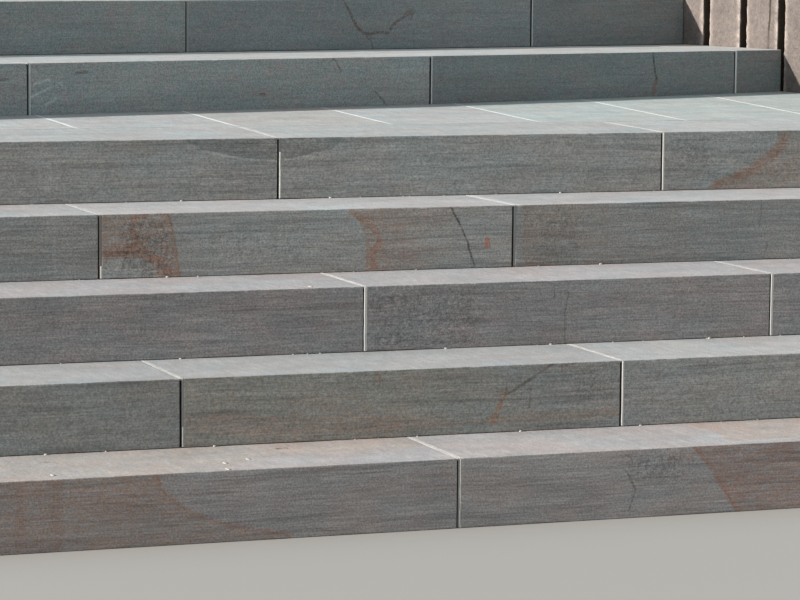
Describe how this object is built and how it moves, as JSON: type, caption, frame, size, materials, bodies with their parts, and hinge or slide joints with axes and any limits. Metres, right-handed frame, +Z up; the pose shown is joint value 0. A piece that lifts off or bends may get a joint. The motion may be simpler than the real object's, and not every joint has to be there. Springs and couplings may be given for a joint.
{
  "type": "outdoor stone steps",
  "caption": "Outdoor flight of block steps in grey sandstone, with a wedge-shaped landing, two turned upper steps and a palisade of upright stones along one end.",
  "frame": {"origin": "on the ground, under the middle of the whole plan", "axes": "+X along the lower steps to the right as one climbs, +Y away from the climber, up the steps, +Z up"},
  "size_m": [4.6306, 3.6166, 1.45],
  "materials": {
    "step_stone": "sawn, matt",
    "slab_stone": "sawn, matt",
    "mortar": "fine and matt",
    "concrete": "cast, rough",
    "wall_stone": "split, rough"
  },
  "bodies": {
    "root": {"landing_joints": "mortar", "landing_slabs": "slab_stone", "lower_concrete_bed": "concrete", "lower_flight_joints": "mortar", "lower_palisade": "wall_stone", "step_1_block_1": "step_stone", "step_1_block_2": "step_stone", "step_1_block_3": "step_stone", "step_1_block_4": "step_stone", "step_1_block_5": "step_stone", "step_2_block_1": "step_stone", "step_2_block_2": "step_stone", "step_2_block_3": "step_stone", "step_2_block_4": "step_stone", "step_3_block_1": "step_stone", "step_3_block_2": "step_stone", "step_3_block_3": "step_stone", "step_3_block_4": "step_stone", "step_3_block_5": "step_stone", "step_4_block_1": "step_stone", "step_4_block_2": "step_stone", "step_4_block_3": "step_stone", "step_4_block_4": "step_stone", "step_5_block_1": "step_stone", "step_5_block_2": "step_stone", "step_5_block_3": "step_stone", "step_5_block_4": "step_stone", "step_5_block_5": "step_stone", "step_6_block_1": "step_stone", "step_6_block_2": "step_stone", "step_6_block_3": "step_stone", "step_6_block_4": "step_stone", "step_7_block_1": "step_stone", "step_7_block_2": "step_stone", "step_7_block_3": "step_stone", "step_7_block_4": "step_stone", "upper_concrete_bed": "concrete", "upper_flight_joints": "mortar", "upper_palisade": "wall_stone"}
  },
  "joints": []
}
